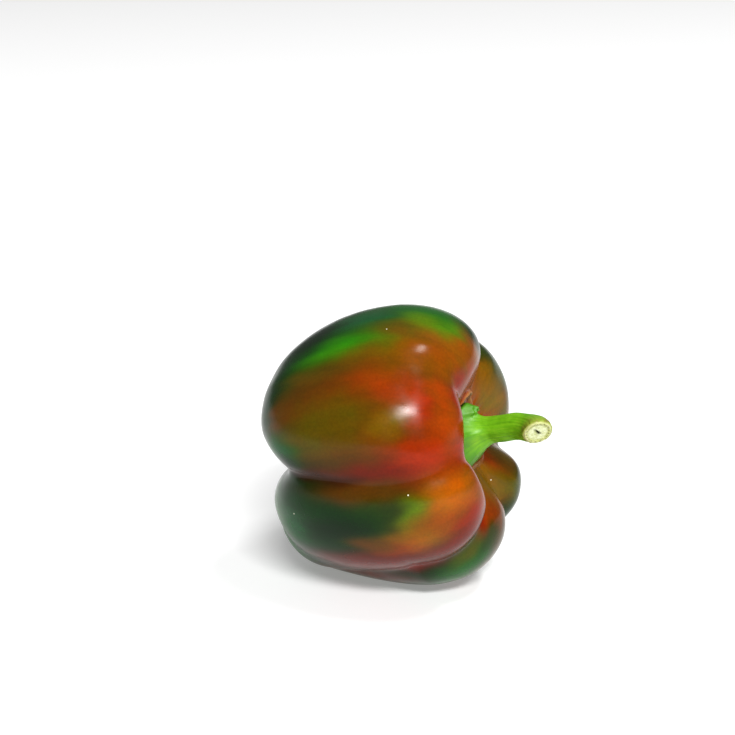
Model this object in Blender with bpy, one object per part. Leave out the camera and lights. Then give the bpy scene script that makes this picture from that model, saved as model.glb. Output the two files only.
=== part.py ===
"""A bell pepper lying on its side: the lobed pod, and the stem with its calyx.

Both pieces are modelled upright, in the pepper's own frame. The stem points up along +Z, the seat
under the calyx is at the origin, and bearings run round the stem from 0 degrees, the side that
faces up once the pepper lies down. Each piece is a UV sphere whose rings are carried onto the
piece's surface. An empty then lays both down, with the stem along +X and its end a little raised.
"""
import math
from collections import namedtuple

import bmesh
import bpy
import numpy as np
from mathutils import Matrix, Vector

MM = 0.001
DEG = math.pi / 180.0

# The pod's outline in millimetres, from the seat over the shoulder and down to the blossom end
SEAT_RADIUS = 4.0
CREST_RADIUS = 23.0
CREST_HEIGHT = 8.5
GIRTH_RADIUS = 40.0
GIRTH_DEPTH = 15.0
TIP_RADIUS = 18.5
TIP_DEPTH = 54.0
BLOSSOM_DEPTH = 50.0

# Lobes: bearing and spread in degrees, then in millimetres how far the flank bulges, the shoulder
# rises, the tip swells, and the shoulder leans in over the stem
Lobe = namedtuple("Lobe", "bearing spread bulge rise swell lean")
LOBES = (
    Lobe(-4, 25, 0.0, 1.5, 0.0, 0.0),
    Lobe(65, 21, 0.5, 1.3, 1.0, 1.0),
    Lobe(118, 20, 1.5, 3.5, 0.8, 0.0),
    Lobe(175, 20, 2.8, 1.7, 5.6, -1.2),
    Lobe(213, 18, 1.2, 2.4, 0.0, -2.0),
    Lobe(284, 28, 0.0, -0.8, 0.0, 0.0),
)

# Furrows: bearing in degrees and depth in millimetres, each at shoulder, girth and tip, and width
Furrow = namedtuple("Furrow", "bearings depths width")
FURROWS = (
    Furrow((38, 38, 41), (3.0, 1.5, 0.3), 14),
    Furrow((93, 91, 86), (1.8, 3.5, 10.0), 13),
    Furrow((150, 141, 162), (5.0, 3.2, 0.2), 12),
    Furrow((200, 196, 196), (6.0, 4.0, 5.0), 11),
    Furrow((246, 245, 244), (7.0, 5.0, 6.0), 15),
    Furrow((-34, -38, -38), (6.0, 4.0, 6.0), 15),
)
FURROW_ROUNDING = 0.22

# The pod's surface runs in stages: 0 is the axis at the seat, 1 the crest of the shoulder, 2 the
# girth, 3 the ring of the tips and 4 the axis at the blossom end. Each effect fades in or out
# between two stages, and a furrow has its three bearings at FURROW_STAGES.
CREST_STARTS = (0.28, 0.92)
CREST_ENDS = (1.2, 2.2)
FLANK_STARTS = (0.9, 1.7)
FLANK_ENDS = (2.5, 3.0)
TIP_STARTS = (2.1, 3.0)
BLOSSOM_END = (3.3, 4.0)
FURROW_STAGES = (1.0, 1.9, 2.8)
FURROW_TO_GIRTH = (1.0, 1.95)
FURROW_TO_TIP = (2.3, 2.9)

# Calyx and stem in millimetres and degrees. The stem leans towards bearing 0 where it leaves the
# pod, and bends towards STEM_BEARING more and more along its length.
CALYX_RADIUS = 9.0
CALYX_SCALLOP = 0.6
CALYX_POINTS = 5
CALYX_THICKNESS = 1.0
SEAT_GAP = 0.35
RIM_ROUNDING = 6.0
FLARE_LENGTH = 10.0
FLARE_INWARD = 1.6
FLARE_UPWARD = 1.25
STEM_RADIUS = 3.8
STEM_LENGTH = 28.0
STEM_LEAN = 8.0
STEM_BEND = 66.0
STEM_BEARING = 106.0
BEND_GROWTH = 3.0

# How it lies: the rise of the stem in degrees, and how deep its own weight flattens the rest spot
STEM_RISE = 12.0
REST_DEPTH = 0.8

# Faceting of the two pieces, and the share of the rings that each stage of the surface takes
POD_SEGMENTS = 64
POD_RINGS = 36
POD_STAGE_ENDS = (0.0, 0.22, 0.47, 0.84, 1.0)
STEM_SEGMENTS = 32
STEM_RINGS = 30
STEM_STAGE_ENDS = (0.0, 0.10, 0.40, 0.80, 1.0)


def fade_in(value, span):
    """0 before the span of two values, 1 after it and an S-curve along it."""
    start, end = span
    share = np.clip((value - start) / (end - start), 0.0, 1.0)
    return share * share * (3.0 - 2.0 * share)


def angle_between(bearing, centre):
    """The signed angle from centre to bearing, the short way round."""
    return (bearing - centre + math.pi) % (2.0 * math.pi) - math.pi


def pod_outline(stage):
    """Radius and height of the pod without lobes and furrows.

    Stage 0 to 1 is the crown, a dish that rises from the seat to the crest. 1 to 2 is the shoulder
    and 2 to 3 the flank, each a quarter ellipse, and 3 to 4 is the dimpled blossom end.
    """
    crown = np.clip(stage, 0.0, 1.0)
    shoulder = np.clip(stage - 1.0, 0.0, 1.0) * math.pi / 2.0
    flank = np.clip(stage - 2.0, 0.0, 1.0) * math.pi / 2.0
    end = np.clip(stage - 3.0, 0.0, 1.0)
    crown_radius = CREST_RADIUS * crown
    crown_height = CREST_HEIGHT * fade_in(crown_radius, (SEAT_RADIUS, CREST_RADIUS))
    shoulder_radius = CREST_RADIUS + (GIRTH_RADIUS - CREST_RADIUS) * np.sin(shoulder)
    shoulder_height = -GIRTH_DEPTH + (CREST_HEIGHT + GIRTH_DEPTH) * np.cos(shoulder)
    flank_radius = TIP_RADIUS + (GIRTH_RADIUS - TIP_RADIUS) * np.cos(flank)
    flank_height = -GIRTH_DEPTH - (TIP_DEPTH - GIRTH_DEPTH) * np.sin(flank)
    end_radius = TIP_RADIUS * (1.0 - end)
    end_height = -TIP_DEPTH + (TIP_DEPTH - BLOSSOM_DEPTH) * fade_in(end, (0.0, 1.0))
    where = (stage < 1.0, stage < 2.0, stage < 3.0)
    radius = np.select(where, (crown_radius, shoulder_radius, flank_radius), end_radius)
    height = np.select(where, (crown_height, shoulder_height, flank_height), end_height)
    return radius, height


def outline_normal(stage):
    """The outline's outward normal, as its radial and its upward part."""
    step = 0.001
    radius_before, height_before = pod_outline(np.maximum(stage - step, 0.0))
    radius_after, height_after = pod_outline(np.minimum(stage + step, 4.0))
    along_radius = radius_after - radius_before
    along_height = height_after - height_before
    length = np.maximum(np.hypot(along_radius, along_height), 1e-9)
    return -along_height / length, along_radius / length


def lobe_shares(bearing):
    """How much of each lobe there is at a bearing: bell curves that add up to 1."""
    bells = [np.exp(-(angle_between(bearing, lobe.bearing * DEG) / (lobe.spread * DEG)) ** 2)
             for lobe in LOBES]
    return np.array(bells) / np.sum(bells, axis=0)


def furrow_depth(bearing, stage):
    """Depth of the furrows: a V with a rounded bottom across each, that fades at both ends."""
    depth = np.zeros_like(bearing)
    for furrow in FURROWS:
        centre = np.interp(stage, FURROW_STAGES, furrow.bearings) * DEG
        across = angle_between(bearing, centre) / (furrow.width * DEG)
        section = np.exp(FURROW_ROUNDING - np.hypot(across, FURROW_ROUNDING))
        at_shoulder, at_girth, at_tip = furrow.depths
        to_girth = fade_in(stage, FURROW_TO_GIRTH)
        to_tip = fade_in(stage, FURROW_TO_TIP)
        along = at_shoulder + (at_girth - at_shoulder) * to_girth + (at_tip - at_girth) * to_tip
        depth = depth + along * section
    return depth * fade_in(stage, CREST_STARTS) * (1.0 - fade_in(stage, BLOSSOM_END))


def pod_surface(bearing, stage):
    """Points of the pod: the outline, pushed in by its furrows and out by its lobes."""
    radius, height = pod_outline(stage)
    normal_out, normal_up = outline_normal(stage)
    shares = lobe_shares(bearing)
    bulge, rise, swell, lean = np.tensordot([lobe[2:] for lobe in LOBES], shares, axes=(0, 0))
    depth = furrow_depth(bearing, stage)
    on_crest = fade_in(stage, CREST_STARTS) * (1.0 - fade_in(stage, CREST_ENDS))
    on_flank = fade_in(stage, FLANK_STARTS) * (1.0 - fade_in(stage, FLANK_ENDS))
    on_tip = fade_in(stage, TIP_STARTS) * (1.0 - fade_in(stage, BLOSSOM_END))
    push = swell * on_tip - depth
    radius = radius + normal_out * push + bulge * on_flank - lean * on_crest
    height = height + normal_up * push + rise * on_crest
    return np.stack([radius * np.cos(bearing), radius * np.sin(bearing), height], axis=-1)


def calyx_rim(bearing, share):
    """Points of the pod under the calyx, at a share of the way from the axis to its rim."""
    scallop = CALYX_SCALLOP * np.cos(CALYX_POINTS * bearing)
    return pod_surface(bearing, share * (CALYX_RADIUS + scallop) / CREST_RADIUS)


def stem_path(length):
    """The stem's centre and its direction of growth, at lengths measured from the seat.

    Its turn grows with a power of the length, so it is almost straight at first and hooks at the
    end. The third value is the direction, square to the stem, that it bends towards.
    """
    share = np.linspace(0.0, 1.0, 201)
    turn = STEM_BEND * DEG * share ** BEND_GROWTH
    stride = STEM_LENGTH * np.diff(share)
    ahead = np.append(0.0, np.cumsum(stride * np.cos((turn[1:] + turn[:-1]) / 2.0)))
    aside = np.append(0.0, np.cumsum(stride * np.sin((turn[1:] + turn[:-1]) / 2.0)))

    start = np.array((math.sin(STEM_LEAN * DEG), 0.0, math.cos(STEM_LEAN * DEG)))
    sideways = np.array((math.cos(STEM_BEARING * DEG), math.sin(STEM_BEARING * DEG), 0.0))
    sideways = sideways - start * np.dot(sideways, start)
    sideways = sideways / np.linalg.norm(sideways)

    at = length / STEM_LENGTH
    ahead_at = np.interp(at, share, ahead)[..., None]
    aside_at = np.interp(at, share, aside)[..., None]
    turn_at = np.interp(at, share, turn)[..., None]
    centre = ahead_at * start + aside_at * sideways
    growing = np.cos(turn_at) * start + np.sin(turn_at) * sideways
    bending = np.cos(turn_at) * sideways - np.sin(turn_at) * start
    return centre, growing, bending


def stem_ring(bearing, length, radius):
    """Points round the stem at a length along it, at a radius from its centre."""
    centre, growing, bending = stem_path(length)
    beside = np.cross(growing, bending)
    angle = (bearing - STEM_BEARING * DEG)[..., None]
    return centre + radius[..., None] * (np.cos(angle) * bending + np.sin(angle) * beside)


def stem_surface(bearing, stage):
    """Points of the stem piece.

    Stage 0 to 1 is the cut end, from its centre out. 1 to 2 runs down the stem and 2 to 3 down the
    flare, which widens onto the calyx's rim. 3 to 4 is the underside, back to the axis on the pod.
    """
    cut_share = np.clip(stage, 0.0, 1.0)
    length = FLARE_LENGTH + (STEM_LENGTH - FLARE_LENGTH) * np.clip(2.0 - stage, 0.0, 1.0)
    stem = stem_ring(bearing, length, STEM_RADIUS * cut_share)

    climb = np.clip(3.0 - stage, 0.0, 1.0)
    foot = calyx_rim(bearing, np.ones_like(bearing))
    foot[..., 2] += SEAT_GAP + CALYX_THICKNESS * (1.0 - (1.0 - climb) ** RIM_ROUNDING)
    top = stem_ring(bearing, np.full_like(bearing, FLARE_LENGTH), np.full_like(bearing, STEM_RADIUS))
    inward = (1.0 - (1.0 - climb) ** FLARE_INWARD)[..., None]
    upward = climb ** FLARE_UPWARD
    flare = foot + (top - foot) * inward
    flare[..., 2] = foot[..., 2] + (top[..., 2] - foot[..., 2]) * upward

    underside = calyx_rim(bearing, np.clip(4.0 - stage, 0.0, 1.0))
    underside[..., 2] += SEAT_GAP

    on_stem = (stage < 2.0)[..., None]
    on_flare = (stage < 3.0)[..., None]
    return np.where(on_stem, stem, np.where(on_flare, flare, underside))


def carried_sphere(surface, segments, rings, stage_ends):
    """A UV sphere as a bmesh, each vertex moved to the surface at its own bearing and stage."""
    bm = bmesh.new()
    bmesh.ops.create_uvsphere(bm, u_segments=segments, v_segments=rings, radius=1.0)
    sphere = np.array([vert.co for vert in bm.verts], dtype=float)
    bearing = np.arctan2(sphere[:, 1], sphere[:, 0])
    ring = np.rint(np.arccos(np.clip(sphere[:, 2], -1.0, 1.0)) / math.pi * rings)
    stage = np.interp(ring / rings, stage_ends, range(len(stage_ends)))
    for vert, point in zip(bm.verts, surface(bearing, stage) * MM):
        vert.co = point
    return bm


def flatten_below(bm, lying):
    """Cut the pod off level, REST_DEPTH above its lowest point once it lies down."""
    lowest = min((lying @ vert.co).z for vert in bm.verts)
    back = lying.inverted()
    bmesh.ops.bisect_plane(
        bm,
        geom=bm.verts[:] + bm.edges[:] + bm.faces[:],
        dist=1e-7,
        plane_co=back @ Vector((0.0, 0.0, lowest + REST_DEPTH * MM)),
        plane_no=back.to_3x3() @ Vector((0.0, 0.0, -1.0)),
        clear_outer=True,
    )
    rim = [edge for edge in bm.edges if edge.is_boundary]
    bmesh.ops.edgeloop_fill(bm, edges=rim)
    bmesh.ops.recalc_face_normals(bm, faces=bm.faces[:])


def skin_material(name, colour, roughness):
    """A Principled material of one colour."""
    material = bpy.data.materials.new(name)
    material.use_nodes = True
    shader = material.node_tree.nodes["Principled BSDF"]
    shader.inputs["Base Color"].default_value = (*colour, 1.0)
    shader.inputs["Roughness"].default_value = roughness
    shader.inputs["Metallic"].default_value = 0.0
    return material


def add_piece(name, bm, material, parent, collection, sharp_angle):
    """Turn a bmesh into a smooth-shaded object that hangs on the empty."""
    mesh = bpy.data.meshes.new(name)
    bm.to_mesh(mesh)
    bm.free()
    mesh.shade_smooth()
    mesh.set_sharp_from_angle(angle=sharp_angle)
    mesh.materials.append(material)
    piece = bpy.data.objects.new(name, mesh)
    piece.parent = parent
    collection.objects.link(piece)
    return piece


def stand_on_origin(empty, pieces):
    """Move the empty so the pieces' common box stands on the origin, centred over it."""
    corners = [empty.matrix_world @ vert.co for piece in pieces for vert in piece.data.vertices]
    low = Vector([min(corner[axis] for corner in corners) for axis in range(3)])
    high = Vector([max(corner[axis] for corner in corners) for axis in range(3)])
    empty.location -= Vector(((low.x + high.x) / 2.0, (low.y + high.y) / 2.0, low.z))


def build_pepper():
    """Model the two pieces and lay them down."""
    collection = bpy.data.collections.new("bell_pepper")
    bpy.context.scene.collection.children.link(collection)

    # Half a turn about the diagonal between X and Z points the stem along +X and bearing 0 up
    lay_down = Matrix.Rotation(math.pi, 4, Vector((1.0, 0.0, 1.0)))
    lying = Matrix.Rotation(-STEM_RISE * DEG, 4, "Y") @ lay_down
    empty = bpy.data.objects.new("lying_pose", None)
    collection.objects.link(empty)
    empty.matrix_world = lying

    pod_mesh = carried_sphere(pod_surface, POD_SEGMENTS, POD_RINGS, POD_STAGE_ENDS)
    flatten_below(pod_mesh, lying)
    skin = skin_material("ripening_skin", (0.30, 0.09, 0.03), 0.22)
    pod = add_piece("pod", pod_mesh, skin, empty, collection, 60.0 * DEG)

    stem_mesh = carried_sphere(stem_surface, STEM_SEGMENTS, STEM_RINGS, STEM_STAGE_ENDS)
    green = skin_material("stem_green", (0.14, 0.36, 0.05), 0.5)
    stem = add_piece("stem_with_calyx", stem_mesh, green, empty, collection, 40.0 * DEG)

    bpy.context.view_layer.update()
    stand_on_origin(empty, [pod, stem])


for old_object in list(bpy.data.objects):
    bpy.data.objects.remove(old_object, do_unlink=True)
build_pepper()
bpy.context.view_layer.update()
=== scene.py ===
import math

import bpy
import numpy as np
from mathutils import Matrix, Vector


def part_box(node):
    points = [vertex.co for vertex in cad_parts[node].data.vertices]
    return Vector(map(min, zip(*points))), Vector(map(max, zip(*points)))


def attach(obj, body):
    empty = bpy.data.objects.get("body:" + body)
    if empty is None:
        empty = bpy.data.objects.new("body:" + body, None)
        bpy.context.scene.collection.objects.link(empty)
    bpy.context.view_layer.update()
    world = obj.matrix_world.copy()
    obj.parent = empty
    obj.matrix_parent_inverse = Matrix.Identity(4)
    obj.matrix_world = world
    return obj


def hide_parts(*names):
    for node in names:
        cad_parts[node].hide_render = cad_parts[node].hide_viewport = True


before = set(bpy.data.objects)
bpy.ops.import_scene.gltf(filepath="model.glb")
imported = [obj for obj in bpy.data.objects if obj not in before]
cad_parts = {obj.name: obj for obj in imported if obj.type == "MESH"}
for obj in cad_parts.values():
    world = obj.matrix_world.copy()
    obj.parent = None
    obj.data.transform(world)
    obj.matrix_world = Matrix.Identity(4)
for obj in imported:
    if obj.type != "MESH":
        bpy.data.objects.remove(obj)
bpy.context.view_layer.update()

# ------------------------------------------------------------------------------------------------
# The pod. A blocky pepper, grown as one hollow fruit with six uneven lobes and a furrow between
# each two. Its skin is smooth, waxy and half ripe, green running through olive and brown to orange
# and red. It lies on one lobe, which its weight flattens a little.
# ------------------------------------------------------------------------------------------------

MM = 0.001
DEG = math.pi / 180.0

SEAT_RADIUS = 4.0
CREST_RADIUS = 23.0
CREST_HEIGHT = 8.5
GIRTH_RADIUS = 40.0
GIRTH_DEPTH = 15.0
TIP_RADIUS = 18.5
TIP_DEPTH = 54.0
BLOSSOM_DEPTH = 50.0
STEM_RISE = 12.0
REST_DEPTH = 0.8
FURROW_ROUNDING = 0.22
CALYX_RADIUS = 9.0
CALYX_SCALLOP = 0.6
CALYX_POINTS = 5

# Each lobe: bearing and spread in degrees, then how far in millimetres its flank bulges, its
# shoulder rises, its tip swells and its shoulder leans in over the stem
LOBES = np.array((
    (-4, 25, 0.0, 1.5, 0.0, 0.0),
    (65, 21, 0.5, 1.3, 1.0, 1.0),
    (118, 20, 1.5, 3.5, 0.8, 0.0),
    (175, 20, 2.8, 1.7, 5.6, -1.2),
    (213, 18, 1.2, 2.4, 0.0, -2.0),
    (284, 28, 0.0, -0.8, 0.0, 0.0),
))

# Each furrow: its bearings at shoulder, girth and tip, its depths there, and its width
FURROWS = (
    ((38, 38, 41), (3.0, 1.5, 0.3), 14),
    ((93, 91, 86), (1.8, 3.5, 10.0), 13),
    ((150, 141, 162), (5.0, 3.2, 0.2), 12),
    ((200, 196, 196), (6.0, 4.0, 5.0), 11),
    ((246, 245, 244), (7.0, 5.0, 6.0), 15),
    ((-34, -38, -38), (6.0, 4.0, 6.0), 15),
)


def fade_in(value, start, end):
    """0 before start, 1 after end, and between them the S-curve 3 t squared less 2 t cubed."""
    share = np.clip((value - start) / (end - start), 0.0, 1.0)
    return share * share * (3.0 - 2.0 * share)


def turn_from(bearing, centre):
    """The signed angle from centre to bearing, wrapped into plus or minus half a turn."""
    return (bearing - centre + math.pi) % (2.0 * math.pi) - math.pi


def bell(bearing, centre, spread, power=2):
    """1 at the centre bearing, falling off on both sides as the exponential of minus the distance in
    spreads to a power. Centre and spread are in degrees."""
    return np.exp(-(turn_from(bearing, centre * DEG) / (spread * DEG)) ** power)


def pod_outline(stage):
    """Radius and height of the pod's section: a dish up to the crest at stage 1, a quarter ellipse
    over the shoulder to the girth at 2, another down the flank to the tips at 3, and a dimple."""
    crown = np.clip(stage, 0.0, 1.0) * CREST_RADIUS
    shoulder = np.clip(stage - 1.0, 0.0, 1.0) * math.pi / 2.0
    flank = np.clip(stage - 2.0, 0.0, 1.0) * math.pi / 2.0
    end = np.clip(stage - 3.0, 0.0, 1.0)
    where = (stage < 1.0, stage < 2.0, stage < 3.0)
    radius = np.select(where, (
        crown,
        CREST_RADIUS + (GIRTH_RADIUS - CREST_RADIUS) * np.sin(shoulder),
        TIP_RADIUS + (GIRTH_RADIUS - TIP_RADIUS) * np.cos(flank),
    ), TIP_RADIUS * (1.0 - end))
    height = np.select(where, (
        CREST_HEIGHT * fade_in(crown, SEAT_RADIUS, CREST_RADIUS),
        -GIRTH_DEPTH + (CREST_HEIGHT + GIRTH_DEPTH) * np.cos(shoulder),
        -GIRTH_DEPTH - (TIP_DEPTH - GIRTH_DEPTH) * np.sin(flank),
    ), -TIP_DEPTH + (TIP_DEPTH - BLOSSOM_DEPTH) * fade_in(end, 0.0, 1.0))
    return radius, height


def furrow_depth(bearing, stage):
    """Depth of the furrows: each falls off as the exponential of the distance from its line, with
    a rounded bottom, and all fade out on the seat and at the blossom end."""
    depth = np.zeros_like(bearing)
    for bearings, (at_shoulder, at_girth, at_tip), width in FURROWS:
        line = np.interp(stage, (1.0, 1.9, 2.8), bearings) * DEG
        across = turn_from(bearing, line) / (width * DEG)
        section = np.exp(FURROW_ROUNDING - np.hypot(across, FURROW_ROUNDING))
        to_girth = fade_in(stage, 1.0, 1.95)
        to_tip = fade_in(stage, 2.3, 2.9)
        along = at_shoulder + (at_girth - at_shoulder) * to_girth + (at_tip - at_girth) * to_tip
        depth = depth + along * section
    return depth * fade_in(stage, 0.28, 0.92) * (1.0 - fade_in(stage, 3.3, 4.0))


def skin_relief(bearing, stage):
    """Small unevenness of the skin, in millimetres along its normal: slow waves round and along
    the fruit, a fold that is half filled and one with a sharp crease in it, fine pleats that run
    out from the seat, and pleats and a pit at the blossom scar."""
    waves = 0.16 * np.sin(7.0 * bearing + 2.3 * stage + 1.3) * np.sin(4.1 * stage + 0.7)
    waves += 0.10 * np.sin(13.0 * bearing - 3.1 * stage) * np.cos(6.7 * stage + 2.0)
    waves *= fade_in(stage, 0.5, 1.1) * (1.0 - fade_in(stage, 3.2, 3.9))
    filled_fold = 1.9 * bell(bearing, 35.0, 13.0) * np.exp(-((stage - 1.66) / 0.42) ** 2)
    pleats = 0.10 * np.sin(23.0 * bearing + 2.0 * np.sin(3.0 * bearing))
    pleats += 0.05 * np.sin(41.0 * bearing + 1.7)
    pleats *= fade_in(stage, 0.38, 0.46) * (1.0 - fade_in(stage, 0.46, 0.60))
    scar = 0.25 * np.sin(9.0 * bearing + 0.8)
    scar *= fade_in(stage, 3.35, 3.7) * (1.0 - fade_in(stage, 3.8, 4.0))
    pit = -1.1 * fade_in(stage, 3.86, 3.96)
    crease_line = 96.0 - 4.0 * stage + 1.5 * np.sin(4.0 * stage)
    crease = -0.7 * bell(bearing, crease_line, 2.2) * np.exp(-((stage - 2.32) / 0.26) ** 4)
    return waves + filled_fold + crease + pleats + scar + pit


def pod_surface(bearing, stage):
    """Points of the pod in its own frame, stem up: the outline, pushed along its normal by tip
    swell, furrows and relief, and outwards and upwards by the lobes, each a bell round its bearing."""
    radius, height = pod_outline(stage)
    radius_after, height_after = pod_outline(np.minimum(stage + 0.001, 4.0))
    radius_before, height_before = pod_outline(np.maximum(stage - 0.001, 0.0))
    along_radius, along_height = radius_after - radius_before, height_after - height_before
    length = np.maximum(np.hypot(along_radius, along_height), 1e-9)
    out, up = -along_height / length, along_radius / length
    bells = np.array([bell(bearing, lobe[0], lobe[1]) for lobe in LOBES])
    bulge, rise, swell, lean = np.tensordot(LOBES[:, 2:], bells / bells.sum(axis=0), axes=(0, 0))
    on_crest = fade_in(stage, 0.28, 0.92) * (1.0 - fade_in(stage, 1.2, 2.2))
    on_flank = fade_in(stage, 0.9, 1.7) * (1.0 - fade_in(stage, 2.5, 3.0))
    on_tip = fade_in(stage, 2.1, 3.0) * (1.0 - fade_in(stage, 3.3, 4.0))
    push = swell * on_tip - furrow_depth(bearing, stage) + skin_relief(bearing, stage)
    radius = radius + out * push + bulge * on_flank - lean * on_crest
    height = height + up * push + rise * on_crest
    return np.stack([radius * np.cos(bearing), radius * np.sin(bearing), height], axis=-1)


FOLD_BEARING = -8.0
FOLD_SPREAD = 38.0
LIP_CLEARANCE = 0.4


def seat_lip(bearing, stage):
    """Height of the corky lip of skin round the calyx: a narrow bell on a ring just outside its rim,
    which swings out and stands taller where a fold of skin rises over the calyx at the top."""
    rim = (CALYX_RADIUS + CALYX_SCALLOP * np.cos(CALYX_POINTS * bearing) + LIP_CLEARANCE) / CREST_RADIUS
    fold = bell(bearing, FOLD_BEARING, FOLD_SPREAD, 4)
    low_fold = bell(bearing, 176.0, 24.0)
    ring = np.exp(-((stage - rim - 0.090 * fold) / (0.020 + 0.008 * fold)) ** 2)
    return ring * (0.35 + 0.95 * fold + 0.3 * low_fold + 0.15 * np.sin(17.0 * bearing))


def seat_gutter(bearing, stage):
    """Depth of the gutter between that fold and the calyx, a bell across it, in millimetres."""
    fold = bell(bearing, FOLD_BEARING, FOLD_SPREAD, 4)
    return 0.6 * fold * np.exp(-((stage - 0.455) / 0.022) ** 2)


def lay_down(points):
    """From the pepper's own frame, in millimetres, to where it lies, in metres: the stem's axis
    goes to +X, bearing 0 up and bearing 90 to -Y, and then the stem end is raised."""
    ahead, side, top = points[..., 2], -points[..., 1], points[..., 0]
    cosine, sine = math.cos(STEM_RISE * DEG), math.sin(STEM_RISE * DEG)
    lying = np.stack([ahead * cosine - top * sine, side, ahead * sine + top * cosine], axis=-1)
    return (lying - resting_offset) * MM


def closed_sheet(name, points, first_pole, last_pole):
    """A mesh from a grid of rings: quads between neighbouring rings, which close on themselves, and
    a fan of triangles onto a single point at each end."""
    rings, segments = points.shape[:2]
    ring_start = np.arange(rings - 1)[:, None] * segments
    here = np.arange(segments)[None, :]
    after = (here + 1) % segments
    quads = np.stack([
        ring_start + here, ring_start + segments + here, ring_start + segments + after, ring_start + after,
    ], axis=-1).reshape(-1, 4)
    first, last = rings * segments, rings * segments + 1
    end_ring = (rings - 1) * segments
    first_fan = np.stack([np.full(segments, first), here[0], after[0]], axis=-1)
    last_fan = np.stack([np.full(segments, last), end_ring + after[0], end_ring + here[0]], axis=-1)
    mesh = bpy.data.meshes.new(name)
    vertices = np.vstack([points.reshape(-1, 3), first_pole, last_pole])
    mesh.from_pydata(vertices.tolist(), [], quads.tolist() + first_fan.tolist() + last_fan.tolist())
    mesh.shade_smooth()
    return mesh


def add_attribute(mesh, name, grid, first_value, last_value):
    """Store one number per point of a closed sheet, the poles' values last."""
    values = np.append(grid.ravel(), (first_value, last_value)).astype(np.float32)
    mesh.attributes.new(name, "FLOAT", "POINT").data.foreach_set("value", values)


# The pod's rings are shared out so that they lie about half a millimetre apart all the way down
POD_SEGMENTS = 360
POD_RINGS = 252

resting_offset = np.zeros(3)
pod_turn = np.arange(1, POD_RINGS + 1) / (POD_RINGS + 1)
pod_stage = np.interp(pod_turn, (0.0, 0.22, 0.47, 0.84, 1.0), (0.0, 1.0, 2.0, 3.0, 4.0))
pod_bearing = np.arange(POD_SEGMENTS) / POD_SEGMENTS * 2.0 * math.pi
stages, bearings = np.meshgrid(pod_stage, pod_bearing, indexing="ij")

pod_points = pod_surface(bearings, stages)
pod_points[..., 2] += seat_lip(bearings, stages) - seat_gutter(bearings, stages)
pod_poles = pod_surface(np.zeros(2), np.array((0.0, 4.0)))

# The CAD pod says where the fruit lies: its box gives the middle, and its flat spot the floor
box_low, box_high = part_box("pod")
lying_grid = lay_down(pod_points).reshape(-1, 3) / MM
middle = (lying_grid.min(axis=0) + lying_grid.max(axis=0)) / 2.0
resting_offset = np.array((
    middle[0] - (box_low.x + box_high.x) / 2.0 / MM,
    middle[1] - (box_low.y + box_high.y) / 2.0 / MM,
    lying_grid[:, 2].min() + REST_DEPTH,
))
pod_lying = lay_down(pod_points)
pod_lying[..., 2] = np.maximum(pod_lying[..., 2], 0.0)
pod_pole_points = lay_down(pod_poles)
pod_mesh = closed_sheet("pod_skin", pod_lying, pod_pole_points[:1], pod_pole_points[1:])

# The shades that green flesh passes through as it ripens, as red, green and blue out of 255,
# and three that carry painted shade and painted sheen
SHADES = {
    # nearly black green, partly the skin's own darkest green and partly painted shade where the far side
    # lies in shadow and mirrors dark surroundings
    "deep_green_and_shade": (9, 34, 7),
    "bottle": (12, 50, 12),
    "green": (22, 92, 20),
    "leaf": (50, 126, 9),
    "moss": (40, 56, 6),
    "grass": (82, 114, 8),
    "olive": (84, 76, 4),
    "bronze": (96, 58, 3),
    "umber": (88, 55, 10),
    "khaki": (86, 72, 4),
    "straw": (108, 86, 4),
    "copper": (126, 70, 2),
    "amber": (156, 84, 3),
    "ochre": (112, 82, 7),
    # green greyed towards blue: partly the skin's own green, partly painted sheen of pale surroundings
    # mirrored at the edges
    "teal_and_sheen": (22, 84, 44),
    "rust": (140, 54, 3),
    "orange": (144, 62, 1),
    "red": (144, 44, 1),
    "brick": (136, 32, 2),
    "wine": (108, 26, 8),
    # dark red-brown, painted shade along the crease in the fold between the near lobes
    "maroon_crease_shade": (62, 20, 8),
}

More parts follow.
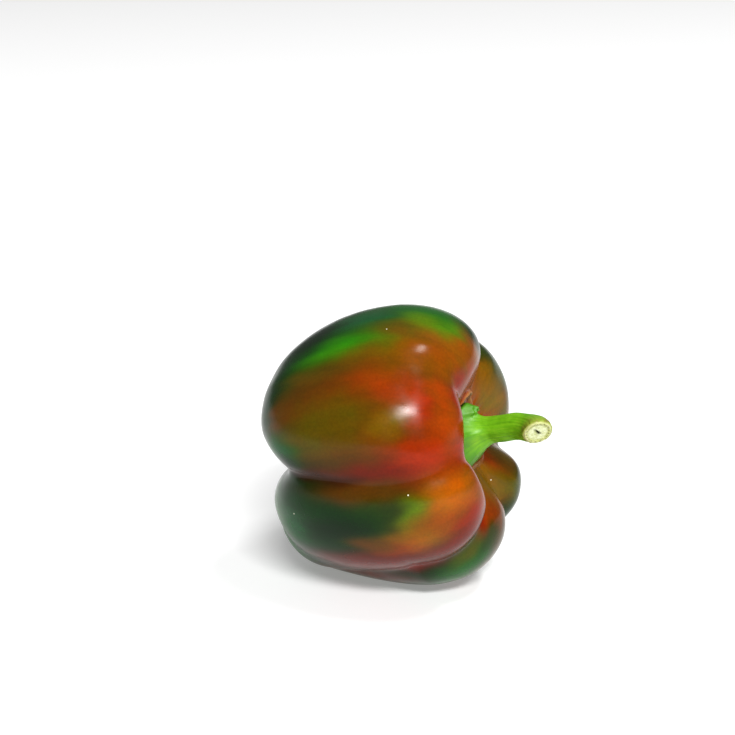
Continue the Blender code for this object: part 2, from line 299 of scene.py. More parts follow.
# Where each shade lies. A patch is a soft dab over the ones before it: its bearing and stage, its
# half width in degrees, its half length in stages, its strength and its shade.
RIPENING_SHADE_AND_SHEEN = (
    # ground: brown round the stem, green behind and dark towards the blossom end
    (0, 0.55, 500, 0.55, 1.0, "rust"),
    (90, 1.0, 60, 0.35, 0.8, "brick"),
    (0, 3.6, 500, 0.9, 1.0, "bottle"),
    # the top lobe, from the crown back
    (14, 1.45, 30, 0.50, 1.0, "copper"),
    (12, 0.78, 30, 0.25, 0.9, "rust"),
    (8, 1.15, 14, 0.20, 0.9, "copper"),
    (24, 1.30, 17, 0.26, 0.95, "copper"),
    # painted shade: the top lobe's back edge darkened where it mirrors dark surroundings
    (-16, 1.30, 12, 0.28, 1.0, "deep_green_and_shade"),
    (-14, 1.85, 14, 0.50, 1.0, "green"),
    (8, 1.50, 10, 0.22, 1.0, "grass"),
    (1, 1.72, 10, 0.30, 1.0, "green"),
    (10, 1.68, 8, 0.16, 0.8, "grass"),
    # partly painted sheen: pale surroundings mirrored on the top lobe's back
    (12, 2.05, 11, 0.24, 0.95, "teal_and_sheen"),
    (22, 1.84, 8, 0.24, 0.9, "olive"),
    (35, 1.70, 11, 0.24, 0.9, "copper"),
    (31, 1.98, 7, 0.20, 0.85, "grass"),
    (29, 2.22, 9, 0.24, 1.0, "leaf"),
    (37, 1.94, 7, 0.18, 0.9, "straw"),
    (44, 1.82, 6, 0.26, 0.9, "copper"),
    # painted shade over the far side of the top lobe, nearly black and dark green, where it lies in shadow
    (10, 2.42, 20, 0.22, 1.0, "deep_green_and_shade"),
    (24, 2.74, 26, 0.22, 1.0, "bottle"),
    (42, 2.25, 6, 0.24, 0.8, "olive"),
    (34, 1.02, 8, 0.16, 0.8, "brick"),
    # the near upper lobe
    (64, 1.95, 26, 0.62, 1.0, "bronze"),
    (47, 1.06, 8, 0.14, 0.8, "brick"),
    (66, 1.02, 16, 0.10, 0.5, "rust"),
    (66, 1.26, 22, 0.24, 1.0, "orange"),
    (48, 1.34, 8, 0.20, 0.7, "orange"),
    (84, 1.50, 14, 0.34, 1.0, "red"),
    (58, 1.54, 14, 0.13, 0.95, "red"),
    (52, 1.86, 9, 0.34, 0.9, "rust"),
    (66, 1.98, 10, 0.36, 0.95, "bronze"),
    (58, 2.20, 12, 0.30, 0.8, "bronze"),
    (70, 2.30, 8, 0.26, 0.8, "olive"),
    # partly painted sheen: pale surroundings mirrored at this lobe's lower edge
    (74, 2.52, 10, 0.17, 0.9, "teal_and_sheen"),
    (56, 2.46, 10, 0.18, 0.7, "bronze"),
    # painted shade: dark green over the far side of this lobe, where it lies in shadow
    (48, 2.76, 18, 0.20, 0.9, "bottle"),
    (57, 2.50, 8, 0.14, 0.7, "bronze"),
    (63, 2.13, 9, 0.26, 0.9, "khaki"),
    (66, 1.76, 7, 0.14, 0.8, "straw"),
    # painted shade: nearly black green at this lobe's far edge by the fold
    (83, 2.50, 6, 0.12, 0.9, "deep_green_and_shade"),
    # the fold between the two near lobes, with painted shade along the crease in it
    (88, 1.92, 7, 0.40, 0.9, "wine"),
    (94, 2.05, 4, 0.50, 0.6, "wine"),
    # painted shade along the crease
    (86, 2.38, 3, 0.18, 0.8, "maroon_crease_shade"),
    (89, 2.18, 3, 0.16, 0.7, "maroon_crease_shade"),
    # the near lower lobe, whose colours lie in bands
    (113, 1.30, 22, 0.50, 1.0, "copper"),
    (100, 1.08, 8, 0.14, 0.7, "copper"),
    (104, 1.36, 11, 0.26, 1.0, "amber"),
    (114, 1.28, 6, 0.20, 0.5, "orange"),
    (122, 1.24, 7, 0.24, 0.8, "brick"),
    (132, 1.45, 8, 0.50, 0.9, "wine"),
    (106, 1.67, 8, 0.13, 0.95, "grass"),
    (111, 1.58, 6, 0.18, 0.8, "copper"),
    (119, 1.80, 7, 0.26, 0.8, "amber"),
    (100, 1.94, 8, 0.20, 0.95, "moss"),
    (104, 2.35, 14, 0.34, 1.0, "bottle"),
    # nearly black green on this lobe, partly its own colour and partly painted shade
    (110, 2.16, 6, 0.22, 0.8, "deep_green_and_shade"),
    (130, 2.10, 9, 0.42, 0.9, "wine"),
    (121, 1.98, 4, 0.16, 0.5, "rust"),
    # partly painted sheen: pale surroundings mirrored at this lobe's far end
    (111, 2.54, 11, 0.16, 0.9, "teal_and_sheen"),
    (117, 2.02, 5, 0.14, 0.8, "bronze"),
    (94, 1.98, 5, 0.32, 0.9, "umber"),
    (112, 2.84, 20, 0.24, 0.9, "green"),
    # the lobe it rests on
    (158, 0.85, 14, 0.34, 0.9, "rust"),
    (150, 1.08, 6, 0.20, 0.9, "brick"),
    (180, 0.56, 30, 0.26, 1.0, "ochre"),
    (158, 1.58, 10, 0.34, 0.9, "green"),
    (162, 1.22, 8, 0.16, 0.8, "moss"),
    (149, 1.40, 6, 0.28, 0.8, "olive"),
    (140, 1.90, 6, 0.55, 0.9, "wine"),
    (152, 2.30, 8, 0.36, 0.7, "wine"),
    (148, 2.85, 14, 0.26, 0.9, "green"),
    (176, 1.60, 12, 0.60, 0.9, "bronze"),
    (172, 2.40, 14, 0.40, 0.8, "olive"),
    # the far lower lobe
    (190, 0.98, 7, 0.20, 0.8, "brick"),
    (203, 0.72, 16, 0.26, 1.0, "ochre"),
    (236, 0.70, 16, 0.26, 0.95, "khaki"),
    (214, 0.98, 12, 0.26, 0.9, "olive"),
    (222, 1.30, 12, 0.34, 0.9, "moss"),
    (214, 1.90, 14, 0.40, 0.95, "green"),
    (222, 2.35, 12, 0.34, 0.8, "copper"),
    (206, 2.70, 12, 0.26, 0.8, "leaf"),
    # the far upper lobes
    (314, 0.66, 40, 0.28, 1.0, "copper"),
    (292, 0.74, 22, 0.26, 0.9, "straw"),
    (266, 0.96, 12, 0.26, 0.95, "olive"),
    (304, 0.86, 20, 0.24, 1.0, "ochre"),
    (300, 1.04, 16, 0.18, 0.9, "khaki"),
    (306, 1.28, 16, 0.24, 0.95, "moss"),
    (288, 1.62, 18, 0.34, 0.95, "leaf"),
    (296, 2.20, 20, 0.40, 0.95, "rust"),
    (272, 2.05, 12, 0.44, 0.9, "red"),
    (262, 1.30, 12, 0.34, 0.9, "copper"),
    (322, 1.75, 10, 0.50, 0.9, "olive"),
    (330, 2.40, 16, 0.34, 0.9, "green"),
    (284, 2.75, 20, 0.24, 0.8, "bronze"),
    (204, 3.05, 16, 0.30, 0.6, "wine"),
    (60, 3.10, 22, 0.30, 0.5, "umber"),
    (310, 3.20, 24, 0.24, 0.5, "umber"),
    (0, 3.75, 500, 0.18, 0.6, "moss"),
)


def ripened_colour_shade_and_sheen(bearing, stage):
    """The skin's colour, as linear red, green and blue. A patch covers what lies under it by its
    strength times the exponential of minus its distance cubed, on a surface whose bearings and
    stages first waver by sums of sines, so that the shades run out in streaks along the fruit. Some
    patches are painted shade and painted sheen on the fruit's far side, edges and crease."""
    streaks = 1.3 * np.sin(11.0 * bearing + 1.5 * stage)
    streaks += 0.9 * np.sin(23.0 * bearing - 2.0 * stage + 1.0)
    streaks += 0.6 * np.sin(47.0 * bearing + 2.5 * np.sin(2.0 * stage))
    wavered_bearing = bearing + 0.8 * DEG * np.sin(9.0 * stage + 5.0 * bearing) * np.sin(17.0 * stage)
    wavered_stage = stage + 0.022 * streaks
    colour = np.zeros(bearing.shape + (3,)) + np.array(SHADES["bottle"])
    for centre, along, half_width, half_length, strength, shade in RIPENING_SHADE_AND_SHEEN:
        across = turn_from(wavered_bearing, centre * DEG) / (half_width * DEG)
        distance = np.hypot(across, (wavered_stage - along) / half_length)
        share = (strength * np.exp(-distance ** 3))[..., None]
        colour = colour * (1.0 - share) + np.array(SHADES[shade]) * share
    return (colour / 255.0) ** 2.2


def add_colours(mesh, name, grid, first_colour, last_colour):
    """Store one colour per point of a closed sheet, the poles' colours last."""
    colours = np.vstack([grid.reshape(-1, 3), first_colour, last_colour])
    colours = np.hstack([colours, np.ones((len(colours), 1))]).astype(np.float32)
    mesh.attributes.new(name, "FLOAT_COLOR", "POINT").data.foreach_set("color", colours.ravel())


def add_vectors(mesh, name, grid, first_vector, last_vector):
    """Store one vector per point of a closed sheet, the poles' vectors last."""
    vectors = np.vstack([grid.reshape(-1, 3), first_vector, last_vector]).astype(np.float32)
    mesh.attributes.new(name, "FLOAT_VECTOR", "POINT").data.foreach_set("vector", vectors.ravel())


# The skin's colour at each point: ripening colours, with painted shade and painted sheen where the patches
# put them
pole_colours = ripened_colour_shade_and_sheen(np.zeros(2), np.array((0.0, 4.0)))
add_colours(pod_mesh, "ripening_shade_and_sheen", ripened_colour_shade_and_sheen(bearings, stages), *pole_colours)

# Growth coordinates: round the fruit, and slowly along it, so that patterns on them run in streaks
growth = np.stack([np.cos(bearings), np.sin(bearings), 0.3 * stages], axis=-1)
add_vectors(pod_mesh, "growth", growth, (0.0, 0.0, 0.0), (0.0, 0.0, 1.2))

# Cork: the tan scar tissue on the lip round the calyx and in the blossom scar
cork = np.clip(seat_lip(bearings, stages) * 0.9, 0.0, 1.0) + fade_in(stages, 3.84, 3.92)
add_attribute(pod_mesh, "cork", np.clip(cork, 0.0, 1.0), 0.0, 1.0)


def add_node(tree, kind, **sockets):
    """A shader node with numbered or named input sockets set or linked."""
    node = tree.nodes.new(kind)
    for key, value in sockets.items():
        socket = node.inputs[int(key[1:])] if key[0] == "_" else node.inputs[key.replace("_", " ")]
        if hasattr(value, "is_output"):
            tree.links.new(value, socket)
        else:
            socket.default_value = value
    return node


def attribute_value(tree, name):
    """The output of a named point attribute."""
    node = tree.nodes.new("ShaderNodeAttribute")
    node.attribute_name = name
    return node.outputs["Fac"]


def math_value(tree, operation, first, second):
    """One sum on two numbers or outputs."""
    node = tree.nodes.new("ShaderNodeMath")
    node.operation = operation
    for socket, value in zip(node.inputs, (first, second)):
        if hasattr(value, "is_output"):
            tree.links.new(value, socket)
        else:
            socket.default_value = value
    return node.outputs[0]


def noise_value(tree, place, scale, detail, roughness=0.5):
    """A noise between about 0.25 and 0.75, with its features one over scale metres apart."""
    node = add_node(tree, "ShaderNodeTexNoise", Vector=place, Scale=scale, Detail=detail,
                    Roughness=roughness)
    return node.outputs["Fac"]


def blend_colour(tree, share, under, over):
    """Mix two colours by a share, each a colour or an output."""
    node = tree.nodes.new("ShaderNodeMix")
    node.data_type = "RGBA"
    for socket, value in ((node.inputs[0], share), (node.inputs[6], under), (node.inputs[7], over)):
        if hasattr(value, "is_output"):
            tree.links.new(value, socket)
        elif isinstance(value, tuple):
            socket.default_value = (*value, 1.0)
        else:
            socket.default_value = value
    return node.outputs[2]


def colour_ramp(tree, share, stops):
    """A colour ramp of (position, colour) stops."""
    node = tree.nodes.new("ShaderNodeValToRGB")
    ramp = node.color_ramp
    ramp.elements[0].position, ramp.elements[0].color = stops[0][0], (*stops[0][1], 1.0)
    ramp.elements[1].position, ramp.elements[1].color = stops[-1][0], (*stops[-1][1], 1.0)
    for position, colour in stops[1:-1]:
        ramp.elements.new(position).color = (*colour, 1.0)
    tree.links.new(share, node.inputs[0])
    return node.outputs[0]


def multiplied_colour(tree, colour, factor):
    """One colour times another."""
    node = tree.nodes.new("ShaderNodeMix")
    node.data_type = "RGBA"
    node.blend_type = "MULTIPLY"
    node.inputs[0].default_value = 1.0
    tree.links.new(colour, node.inputs[6])
    tree.links.new(factor, node.inputs[7])
    return node.outputs[2]


# How fine the skin's patterns are: streaks on the growth coordinates, the others per metre, and
# the depth of its grain in millimetres
STREAK_SCALE = 9.0
BLOTCH_SCALE = 130.0
WAX_SCALE = 240.0
FRECKLE_SCALE = 1400.0
GRAIN_SCALE = 2600.0
GRAIN_DEPTH = 0.03
SKIN_GLOSS_IOR = 1.29
CORK_COLOUR = (0.36, 0.17, 0.06)
CORK_ROUGHNESS = (0.55, 0.55, 0.55)
# Small pale specks on the skin, by bearing and stage
SPECK_COLOUR = (0.80, 0.78, 0.62)
SPECK_RADIUS = 0.20
SPECKS = ((22, 1.87), (97, 1.68), (105, 2.46), (203, 0.63), (160, 2.2), (232, 1.5), (300, 1.9))
speck_bearings = np.array([bearing for bearing, stage in SPECKS]) * DEG
speck_stages = np.array([stage for bearing, stage in SPECKS])
specks = lay_down(pod_surface(speck_bearings, speck_stages)).tolist()


def skin_material():
    """Ripening pepper skin: the ripened colour with its painted shade and sheen, streaked along the
    fruit and mottled by noise, with a few pale specks and tan cork, under a waxy gloss with a very
    fine grain."""
    material = bpy.data.materials.new("ripening_skin")
    material.use_nodes = True
    tree = material.node_tree
    shader = tree.nodes["Principled BSDF"]
    place = tree.nodes.new("ShaderNodeTexCoord").outputs["Object"]
    ripening_shade_and_sheen = tree.nodes.new("ShaderNodeAttribute")
    ripening_shade_and_sheen.attribute_name = "ripening_shade_and_sheen"
    grown = tree.nodes.new("ShaderNodeAttribute")
    grown.attribute_name = "growth"

    streak = colour_ramp(tree, noise_value(tree, grown.outputs["Vector"], STREAK_SCALE, 5.0, 0.6), (
        (0.30, (0.82, 0.90, 0.90)), (0.50, (1.0, 1.0, 1.0)), (0.70, (1.14, 1.08, 1.0)),
    ))
    blotch = colour_ramp(tree, noise_value(tree, place, BLOTCH_SCALE, 3.0, 0.55), (
        (0.30, (1.08, 0.92, 0.9)), (0.50, (1.0, 1.0, 1.0)), (0.70, (0.92, 1.12, 1.1)),
    ))
    freckles = colour_ramp(tree, noise_value(tree, place, FRECKLE_SCALE, 2.0), (
        (0.35, (0.94, 0.94, 0.93)), (0.65, (1.06, 1.06, 1.07)),
    ))
    skin = multiplied_colour(tree, ripening_shade_and_sheen.outputs["Color"], streak)
    skin = multiplied_colour(tree, skin, blotch)
    skin = multiplied_colour(tree, skin, freckles)
    pale = 0.0
    for speck in specks:
        nearness = add_node(tree, "ShaderNodeVectorMath", _0=place, _1=speck)
        nearness.operation = "DISTANCE"
        spot = math_value(tree, "LESS_THAN", nearness.outputs["Value"], SPECK_RADIUS * MM)
        pale = math_value(tree, "MAXIMUM", pale, spot)
    skin = blend_colour(tree, pale, skin, SPECK_COLOUR)
    cork_share = attribute_value(tree, "cork")
    corky = blend_colour(tree, cork_share, skin, CORK_COLOUR)
    tree.links.new(corky, shader.inputs["Base Color"])

    grain = noise_value(tree, place, GRAIN_SCALE, 3.0)
    bump = add_node(tree, "ShaderNodeBump", Strength=0.25, Distance=GRAIN_DEPTH * MM, Height=grain)
    tree.links.new(bump.outputs[0], shader.inputs["Normal"])
    waxy = colour_ramp(tree, noise_value(tree, place, WAX_SCALE, 3.0), (
        (0.35, (0.17, 0.17, 0.17)), (0.65, (0.26, 0.26, 0.26)),
    ))
    dull = blend_colour(tree, cork_share, waxy, CORK_ROUGHNESS)
    tree.links.new(dull, shader.inputs["Roughness"])
    shader.inputs["IOR"].default_value = SKIN_GLOSS_IOR
    return material


pod = bpy.data.objects.new("pepper_pod", pod_mesh)
bpy.context.scene.collection.objects.link(pod)
pod_mesh.materials.append(skin_material())
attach(pod, "root")
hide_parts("pod")

# ------------------------------------------------------------------------------------------------
# The stem with its calyx. Green, woody and faintly ribbed: it hooks down towards the cut, where its
# pale pith shows inside a ring of fibres. At its foot it flares into the calyx, a tough cap that
# grew with the fruit and sits tight in the middle of the crown, its edge curled up at the top.
# ------------------------------------------------------------------------------------------------

CALYX_THICKNESS = 1.0
SEAT_GAP = 0.35
RIM_ROUNDING = 6.0
FLARE_LENGTH = 10.0
STEM_RADIUS = 3.8
STEM_LENGTH = 28.0
STEM_LEAN = 8.0
STEM_BEND = 66.0
STEM_BEARING = 106.0
BEND_GROWTH = 3.0
CUT_SWELLING = 0.45


def stem_path(length):
    """Centre, direction of growth and direction of bend at a length from the seat: strides of equal
    length are added up, each turned by STEM_BEND times the share of the length to a power."""
    share = np.linspace(0.0, 1.0, 201)
    turn = STEM_BEND * DEG * share ** BEND_GROWTH
    stride = STEM_LENGTH * np.diff(share)
    ahead = np.append(0.0, np.cumsum(stride * np.cos((turn[1:] + turn[:-1]) / 2.0)))
    aside = np.append(0.0, np.cumsum(stride * np.sin((turn[1:] + turn[:-1]) / 2.0)))
    start = np.array((math.sin(STEM_LEAN * DEG), 0.0, math.cos(STEM_LEAN * DEG)))
    sideways = np.array((math.cos(STEM_BEARING * DEG), math.sin(STEM_BEARING * DEG), 0.0))
    sideways = sideways - start * np.dot(sideways, start)
    sideways = sideways / np.linalg.norm(sideways)
    at = length / STEM_LENGTH
    ahead_at, aside_at, turn_at = (np.interp(at, share, value)[..., None] for value in (ahead, aside, turn))
    centre = ahead_at * start + aside_at * sideways
    growing = np.cos(turn_at) * start + np.sin(turn_at) * sideways
    bending = np.cos(turn_at) * sideways - np.sin(turn_at) * start
    return centre, growing, bending


def stem_girth(bearing, length):
    """Radius of the stem in millimetres: five soft ridges that run into the points of the calyx,
    fine ribs between them, a slow unevenness, and a slight swelling towards the cut."""
    ridges = 0.12 * np.cos(5.0 * (bearing - 12.0 * DEG) + 0.25 * np.sin(length * 0.35))
    ridges = ridges * (1.0 - 0.7 * fade_in(length, 20.0, STEM_LENGTH))
    ribs = 0.030 * np.sin(17.0 * bearing + 0.9 * np.sin(length * 0.3))
    ribs += 0.020 * np.sin(29.0 * bearing + 1.0 + 0.7 * np.sin(length * 0.45))
    uneven = 0.10 * np.sin(0.75 * length + 1.0) * np.cos(bearing + 0.3)
    swelling = CUT_SWELLING * fade_in(length, 20.0, STEM_LENGTH)
    return STEM_RADIUS + ridges + ribs + uneven + swelling


def stem_ring(bearing, length, radius):
    """Points round the stem: its centre, plus a radius turned round the direction of growth."""
    centre, growing, bending = stem_path(length)
    beside = np.cross(growing, bending)
    angle = (bearing - STEM_BEARING * DEG)[..., None]
    return centre + radius[..., None] * (np.cos(angle) * bending + np.sin(angle) * beside)


# The cut leans towards one bearing, its skin edge is rounded, and its slit lies across it
CUT_TILT_BEARING = 10.0
CUT_TILT = 0.5
CUT_ROUNDING = 0.55
SLIT_TURN = -52.0 * DEG
FIBRES = 17


def cut_relief(bearing, share):
    """Height of the cut face in millimetres along the stem: rounded at the skin, sunk a little at
    the pith, with a ring of fibre ends standing proud and a slit torn at the middle."""
    edge = -CUT_ROUNDING * fade_in(share, 0.84, 1.0)
    pith = -0.30 * (1.0 - fade_in(share, 0.66, 0.80))
    fibres = 0.14 * np.exp(-((share - 0.76) / 0.05) ** 2) * np.cos(FIBRES * bearing)
    grain = 0.05 * np.sin(9.0 * bearing + 14.0 * share) * np.sin(22.0 * share + 2.0 * bearing)
    across, along = share * np.cos(bearing - SLIT_TURN), share * np.sin(bearing - SLIT_TURN)
    slit = -1.1 * np.exp(-(along / 0.24) ** 2 - (across / 0.075) ** 2)
    return edge + pith + fibres + grain * fade_in(share, 0.05, 0.3) + slit


# The calyx: a knob stands up on it at the top, a point hangs down at the bottom, and five ridges
# run down it from the stem
KNOB_BEARING = -6.0
KNOB_SPREAD = 27.0
KNOB_CURL = 2.0
POINT_BEARING = 180.0
POINT_SPREAD = 20.0
RIDGE_TURN = 12.0 * DEG


def stem_surface(bearing, stage):
    """Points of the stem piece: stage 0 to 1 is the cut, from its centre out, 1 to 2 runs down the
    stem, 2 to 3 down the flare onto the rim of the calyx, and 3 to 4 back under it to the axis. The
    flare runs from the stem's ring to the rim by powers of the climb, plus curl, folds and ridges."""
    share = np.clip(stage, 0.0, 1.0)
    length = FLARE_LENGTH + (STEM_LENGTH - FLARE_LENGTH) * np.clip(2.0 - stage, 0.0, 1.0)
    stem = stem_ring(bearing, length, stem_girth(bearing, length) * share)
    growing = stem_path(length)[1]
    tilt = CUT_TILT * STEM_RADIUS * share * np.cos(bearing - CUT_TILT_BEARING * DEG)
    at_cut = fade_in(length, STEM_LENGTH - 8.0, STEM_LENGTH)
    face = np.where(stage < 1.0, cut_relief(bearing, share), -CUT_ROUNDING * at_cut ** 8)
    stem = stem + growing * (at_cut * tilt + face)[..., None]

    climb = np.clip(3.0 - stage, 0.0, 1.0)
    rim_radius = CALYX_RADIUS + CALYX_SCALLOP * np.cos(CALYX_POINTS * bearing)
    foot = pod_surface(bearing, rim_radius / CREST_RADIUS)
    knob = bell(bearing, KNOB_BEARING, KNOB_SPREAD, 4)
    point = bell(bearing, POINT_BEARING, POINT_SPREAD)
    curl = KNOB_CURL * knob * np.exp(-((climb - 0.15) / 0.17) ** 2)
    wrinkles = 0.42 * np.sin(13.0 * bearing + 19.0 * climb)
    wrinkles += 0.28 * np.sin(21.0 * bearing - 25.0 * climb + 1.0)
    curl += knob * wrinkles * np.exp(-((climb - 0.17) / 0.17) ** 2)
    curl += 0.35 * point * np.exp(-((climb - 0.2) / 0.2) ** 2)
    edge = (CALYX_THICKNESS + 0.6 * knob) * (1.0 - (1.0 - climb) ** RIM_ROUNDING)
    foot[..., 2] += SEAT_GAP + edge
    flare_length = np.full_like(bearing, FLARE_LENGTH)
    top = stem_ring(bearing, flare_length, stem_girth(bearing, flare_length))
    steep = 1.35 + 1.5 * bell(bearing, 15.0, 75.0)
    inward = (1.0 - (1.0 - climb) ** steep)[..., None]
    flare = foot + (top - foot) * inward
    upright = foot[..., 2] + (top[..., 2] - foot[..., 2]) * climb ** 1.25
    ridges = 0.22 * np.cos(CALYX_POINTS * (bearing - RIDGE_TURN))
    ridges += 0.05 * np.sin(19.0 * bearing) + 0.04 * np.sin(31.0 * bearing + 1.0)
    flare[..., 2] = upright + curl + ridges * np.sin(math.pi * climb) ** 0.5 * 0.8

    underside = pod_surface(bearing, np.clip(4.0 - stage, 0.0, 1.0) * rim_radius / CREST_RADIUS)
    underside[..., 2] += SEAT_GAP
    return np.where((stage < 2.0)[..., None], stem, np.where((stage < 3.0)[..., None], flare, underside))


STEM_SEGMENTS = 320
STEM_RINGS = 290
stem_turn = np.arange(1, STEM_RINGS + 1) / (STEM_RINGS + 1)
stem_stage = np.interp(stem_turn, (0.0, 0.26, 0.56, 0.90, 1.0), (0.0, 1.0, 2.0, 3.0, 4.0))
stem_bearing = np.arange(STEM_SEGMENTS) / STEM_SEGMENTS * 2.0 * math.pi
stem_stages, stem_bearings = np.meshgrid(stem_stage, stem_bearing, indexing="ij")
stem_points = lay_down(stem_surface(stem_bearings, stem_stages))
stem_pole_points = lay_down(stem_surface(np.zeros(2), np.array((0.0, 4.0))))
stem_mesh = closed_sheet("stem_flesh", stem_points, stem_pole_points[:1], stem_pole_points[1:])

# What the material needs to know: where on the piece each point is
add_attribute(stem_mesh, "cut_share", np.clip(stem_stages, 0.0, 1.0), 0.0, 1.0)
add_attribute(stem_mesh, "cut", 1.0 - fade_in(stem_stages, 0.90, 1.0), 1.0, 0.0)
add_attribute(stem_mesh, "to_cut", np.clip(2.0 - stem_stages, 0.0, 1.0), 1.0, 0.0)
add_attribute(stem_mesh, "foot", fade_in(stem_stages, 2.0, 3.0), 0.0, 1.0)

# Shades of the flesh and the cut, how fine their patterns are, and the depth of the grain
STEM_DEEP = (0.085, 0.275, 0.008)
STEM_GREEN = (0.150, 0.400, 0.008)
STEM_PALE = (0.240, 0.500, 0.020)
STEM_YELLOWED = (0.300, 0.340, 0.045)
STEM_BROWNED = (0.200, 0.120, 0.030)
CALYX_GREEN = (0.050, 0.210, 0.012)
PITH_STAIN = (0.42, 0.45, 0.15)
# dark fibre ends, and painted shade in the slit across the cut
FIBRE_AND_SLIT_SHADE = (0.035, 0.035, 0.012)
STEM_STREAK_SCALE = 7.0
STEM_MOTTLE_SCALE = 450.0
STEM_BLOTCH_SCALE = 420.0
PITH_STAIN_SCALE = 900.0
STEM_GRAIN_DEPTH = 0.1
STEM_GLOSS_IOR = 1.45


def stem_material():
    """Stem flesh: bright leaf green with paler and darker streaks along the growth, deeper on the
    calyx, yellower and stained brown near the cut. The cut is cream pith with greenish stains, a
    ring of dark fibre ends, painted shade in the slit and a greenish rim."""
    material = bpy.data.materials.new("green_stem")
    material.use_nodes = True
    tree = material.node_tree
    shader = tree.nodes["Principled BSDF"]
    place = tree.nodes.new("ShaderNodeTexCoord").outputs["Object"]
    growth = tree.nodes.new("ShaderNodeAttribute")
    growth.attribute_name = "growth"
    streaks = noise_value(tree, growth.outputs["Vector"], STEM_STREAK_SCALE, 4.0, 0.6)
    mottle = noise_value(tree, place, STEM_MOTTLE_SCALE, 4.0, 0.55)
    uneven = math_value(tree, "ADD", math_value(tree, "MULTIPLY", streaks, 0.55),
                        math_value(tree, "MULTIPLY", mottle, 0.45))
    green = colour_ramp(tree, uneven, (
        (0.28, STEM_DEEP),
        (0.50, STEM_GREEN),
        (0.72, STEM_PALE),
    ))
    yellowing = colour_ramp(tree, attribute_value(tree, "to_cut"), (
        (0.72, (0.0, 0.0, 0.0)), (1.0, (0.8, 0.8, 0.8)),
    ))
    yellowed = blend_colour(tree, yellowing, green, STEM_YELLOWED)
    near_cut = colour_ramp(tree, attribute_value(tree, "to_cut"), (
        (0.76, (0.0, 0.0, 0.0)), (0.92, (1.0, 1.0, 1.0)),
    ))
    blotches = colour_ramp(tree, noise_value(tree, place, STEM_BLOTCH_SCALE, 3.0, 0.6), (
        (0.48, (0.0, 0.0, 0.0)), (0.62, (0.75, 0.75, 0.75)),
    ))
    weathered = math_value(tree, "MULTIPLY", near_cut, blotches)
    skin = blend_colour(tree, weathered, yellowed, STEM_BROWNED)
    deeper = colour_ramp(tree, attribute_value(tree, "foot"), (
        (0.35, (0.0, 0.0, 0.0)), (0.95, (0.7, 0.7, 0.7)),
    ))
    skin = blend_colour(tree, deeper, skin, CALYX_GREEN)
    share = attribute_value(tree, "cut_share")
    pith = colour_ramp(tree, share, (
        (0.0, (0.62, 0.66, 0.42)),
        (0.55, (0.68, 0.72, 0.46)),
        (0.74, (0.42, 0.44, 0.16)),
        (0.84, (0.58, 0.60, 0.30)),
        (1.0, (0.36, 0.36, 0.10)),
    ))
    stain = colour_ramp(tree, noise_value(tree, place, PITH_STAIN_SCALE, 3.0, 0.6), (
        (0.42, (0.0, 0.0, 0.0)), (0.66, (0.8, 0.8, 0.8)),
    ))
    pith = blend_colour(tree, stain, pith, PITH_STAIN)
    colour = blend_colour(tree, attribute_value(tree, "cut"), skin, pith)
    spot = attribute_value(tree, "fibre_ends_and_slit_shade")
    spotted = blend_colour(tree, spot, colour, FIBRE_AND_SLIT_SHADE)
    tree.links.new(spotted, shader.inputs["Base Color"])
    bump = add_node(tree, "ShaderNodeBump", Strength=0.35, Distance=STEM_GRAIN_DEPTH * MM, Height=uneven)
    tree.links.new(bump.outputs[0], shader.inputs["Normal"])
    rough = colour_ramp(tree, mottle, ((0.35, (0.36, 0.36, 0.36)), (0.65, (0.52, 0.52, 0.52))))
    tree.links.new(rough, shader.inputs["Roughness"])
    shader.inputs["IOR"].default_value = STEM_GLOSS_IOR
    return material


stem_growth = np.stack([np.cos(stem_bearings), np.sin(stem_bearings), stem_stages * 0.25], axis=-1)
add_vectors(stem_mesh, "growth", stem_growth, (0.0, 0.0, 0.0), (0.0, 0.0, 1.0))
fibre_turn = FIBRES * stem_bearings + 1.6 * np.sin(3.0 * stem_bearings)
fibre_ring = 0.77 + 0.025 * np.sin(5.0 * stem_bearings + 0.7)
fibre_ends = np.exp(-((stem_stages - fibre_ring) / 0.035) ** 2)
fibre_ends *= np.clip(np.cos(fibre_turn), 0.0, 1.0) ** 2
# The slit across the cut is painted dark as painted shade inside it; the fibre ends are dark in their own
# colour
across = stem_stages * np.cos(stem_bearings - SLIT_TURN)
along = stem_stages * np.sin(stem_bearings - SLIT_TURN)
slit = np.exp(-((along + 0.09) / 0.18) ** 4 - (across / 0.10) ** 2)
slit += 0.9 * np.exp(-((along - 0.27) / 0.10) ** 2 - ((across - 0.03) / 0.075) ** 2)
add_attribute(stem_mesh, "fibre_ends_and_slit_shade", np.clip(0.8 * fibre_ends + slit, 0.0, 1.0), 1.0, 0.0)

stem = bpy.data.objects.new("pepper_stem", stem_mesh)
bpy.context.scene.collection.objects.link(stem)
stem_mesh.materials.append(stem_material())
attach(stem, "root")
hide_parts("stem_with_calyx")

# ------------------------------------------------------------------------------------------------
# Not part of the pepper: the white table it lies on, the soft lamps over it and the camera.
# ------------------------------------------------------------------------------------------------

FLOOR_SIZE = 10.0
half = FLOOR_SIZE / 2.0
floor_corners = [(-half, -half, 0), (half, -half, 0), (half, half, 0), (-half, half, 0)]
floor_mesh = bpy.data.meshes.new("floor")
floor_mesh.from_pydata(floor_corners, [], [(0, 1, 2, 3)])
floor = bpy.data.objects.new("floor", floor_mesh)
bpy.context.scene.collection.objects.link(floor)
white = bpy.data.materials.new("white_table")
white.use_nodes = True
white_shader = white.node_tree.nodes["Principled BSDF"]
white_shader.inputs["Base Color"].default_value = (0.74, 0.74, 0.74, 1.0)
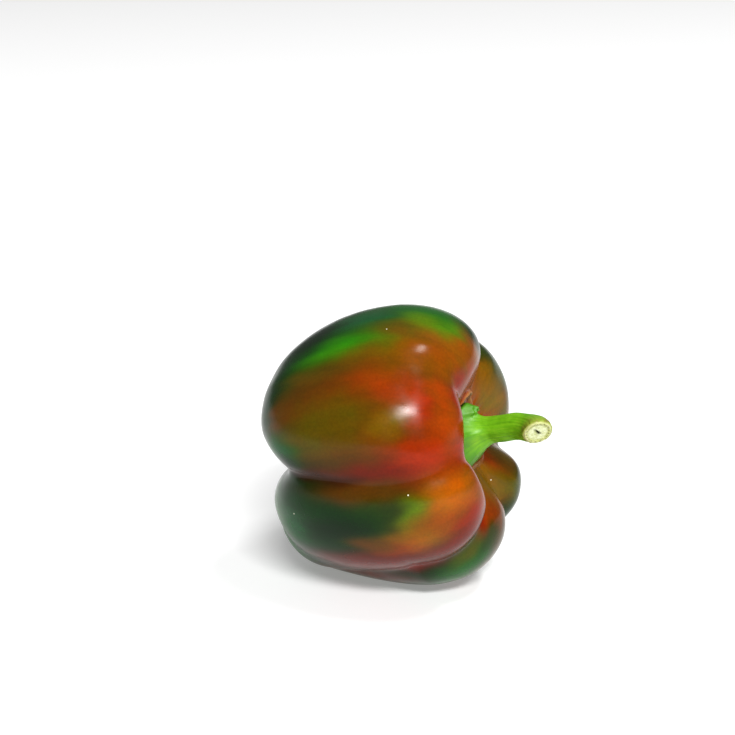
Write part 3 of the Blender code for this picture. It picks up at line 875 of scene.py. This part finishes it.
# The table glows faintly, so that the shadow on it stays light
white_shader.inputs["Emission Color"].default_value = (1.0, 1.0, 1.0, 1.0)
white_shader.inputs["Emission Strength"].default_value = 0.30
white_shader.inputs["Roughness"].default_value = 0.6
white_shader.inputs["Specular IOR Level"].default_value = 0.2
floor_mesh.materials.append(white)

world = bpy.data.worlds.new("white_room")
bpy.context.scene.world = world
world.use_nodes = True
room_light = world.node_tree.nodes["Background"]
room_light.inputs["Color"].default_value = (1.0, 1.0, 1.0, 1.0)
room_light.inputs["Strength"].default_value = 0.22

subject = (Vector(box_low) + Vector(box_high)) / 2.0


def direction(azimuth, elevation):
    """The unit vector from the pepper towards an azimuth, round from the front, and an elevation."""
    turn, rise = azimuth * DEG, elevation * DEG
    return Vector((math.sin(turn) * math.cos(rise), -math.cos(turn) * math.cos(rise), math.sin(rise)))


LAMP_DISTANCE = 4.0


def add_lamp(name, azimuth, elevation, width, height, light):
    """A rectangular soft lamp LAMP_DISTANCE away that faces the pepper. Its width and height are
    angles in degrees as the pepper sees them, and light is what it casts, in watts a square metre."""
    lamp = bpy.data.lights.new(name, "AREA")
    lamp.shape = "RECTANGLE"
    lamp.size = 2.0 * LAMP_DISTANCE * math.tan(width * DEG / 2.0)
    lamp.size_y = 2.0 * LAMP_DISTANCE * math.tan(height * DEG / 2.0)
    lamp.energy = light * math.pi * LAMP_DISTANCE ** 2
    holder = bpy.data.objects.new(name, lamp)
    holder.location = subject + direction(azimuth, elevation) * LAMP_DISTANCE
    holder.rotation_euler = direction(azimuth, elevation).to_track_quat("Z", "Y").to_euler()
    bpy.context.scene.collection.objects.link(holder)


add_lamp("key_lamp", azimuth=34.0, elevation=42.0, width=24.0, height=8.0, light=3.7)
add_lamp("top_lamp", azimuth=107.0, elevation=69.0, width=22.0, height=9.0, light=1.5)

VIEW_AZIMUTH = 23.0
VIEW_ELEVATION = 18.0
VIEW_DISTANCE = 0.5045
VIEW_LEFT = 0.00741
VIEW_UP = 0.02108
LENS_LENGTH = 85.0
SENSOR_WIDTH = 36.0
back = direction(VIEW_AZIMUTH, VIEW_ELEVATION)
right = Vector((math.cos(VIEW_AZIMUTH * DEG), math.sin(VIEW_AZIMUTH * DEG), 0.0))
lens = bpy.data.cameras.new("camera")
lens.lens = LENS_LENGTH
lens.sensor_width = SENSOR_WIDTH
camera = bpy.data.objects.new("camera", lens)
camera.location = subject + back * VIEW_DISTANCE - right * VIEW_LEFT + back.cross(right) * VIEW_UP
camera.rotation_mode = "QUATERNION"
camera.rotation_quaternion = (-back).to_track_quat("-Z", "Y")
bpy.context.scene.collection.objects.link(camera)
bpy.context.scene.camera = camera
bpy.context.scene.view_settings.view_transform = "Standard"
bpy.context.scene.view_settings.gamma = 0.9

bpy.context.view_layer.update()
